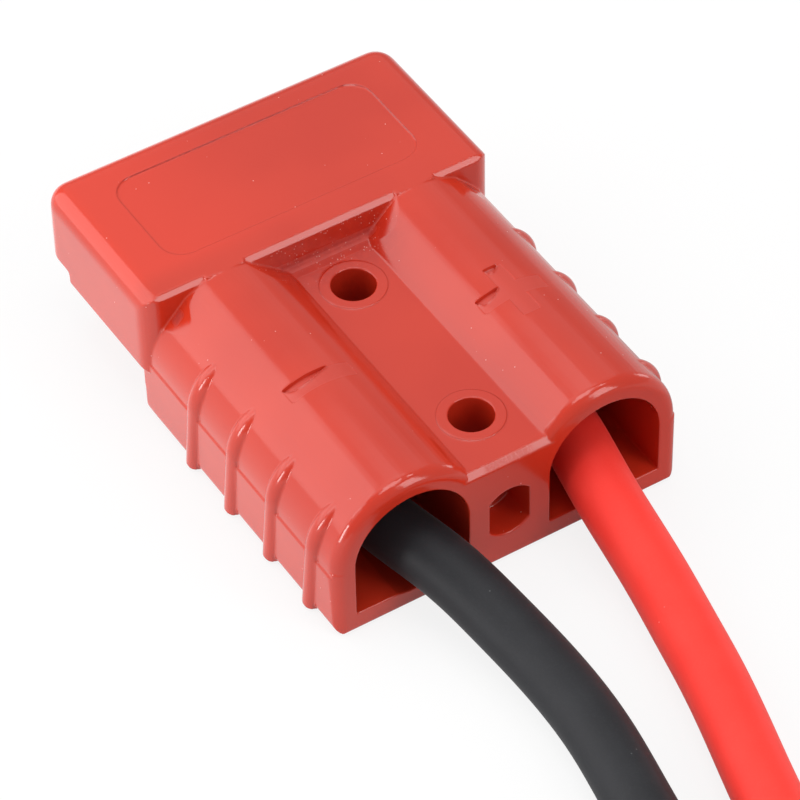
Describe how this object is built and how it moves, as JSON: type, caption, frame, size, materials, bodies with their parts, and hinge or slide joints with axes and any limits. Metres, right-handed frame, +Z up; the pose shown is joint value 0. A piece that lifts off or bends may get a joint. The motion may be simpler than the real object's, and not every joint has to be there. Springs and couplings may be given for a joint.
{
  "type": "battery connector cable",
  "caption": "Battery quick connector: a moulded red housing with side-by-side spring contacts and mounting holes, and red and black flexible leads that end in ring lugs.",
  "frame": {"origin": "on the housing's flat bottom, under the middle of the housing", "axes": "+Y towards the mating end, +X towards the positive side, +Z up; the leads leave towards -Y"},
  "size_m": [0.0605, 0.2287, 0.0154],
  "materials": {
    "housing": "moulded gloss red",
    "contact": "silver plate on copper, satin",
    "spring": "bright spring steel",
    "conductor": "bare stranded copper",
    "lead_black": "matte silicone",
    "lead_red": "matte silicone",
    "lug": "tin plate on copper",
    "sleeve_black": "heat-shrunk tube",
    "sleeve_red": "heat-shrunk tube",
    "tie": "moulded nylon"
  },
  "bodies": {
    "root": {"housing": "housing", "contact_negative": "contact", "contact_positive": "contact", "spring_negative": "spring", "spring_positive": "spring", "conductor_negative": "conductor", "conductor_positive": "conductor", "cable_negative": "lead_black", "cable_positive": "lead_red", "lug_negative": "lug", "lug_positive": "lug", "sleeve_negative": "sleeve_black", "sleeve_positive": "sleeve_red", "cable_tie": "tie"}
  },
  "joints": []
}
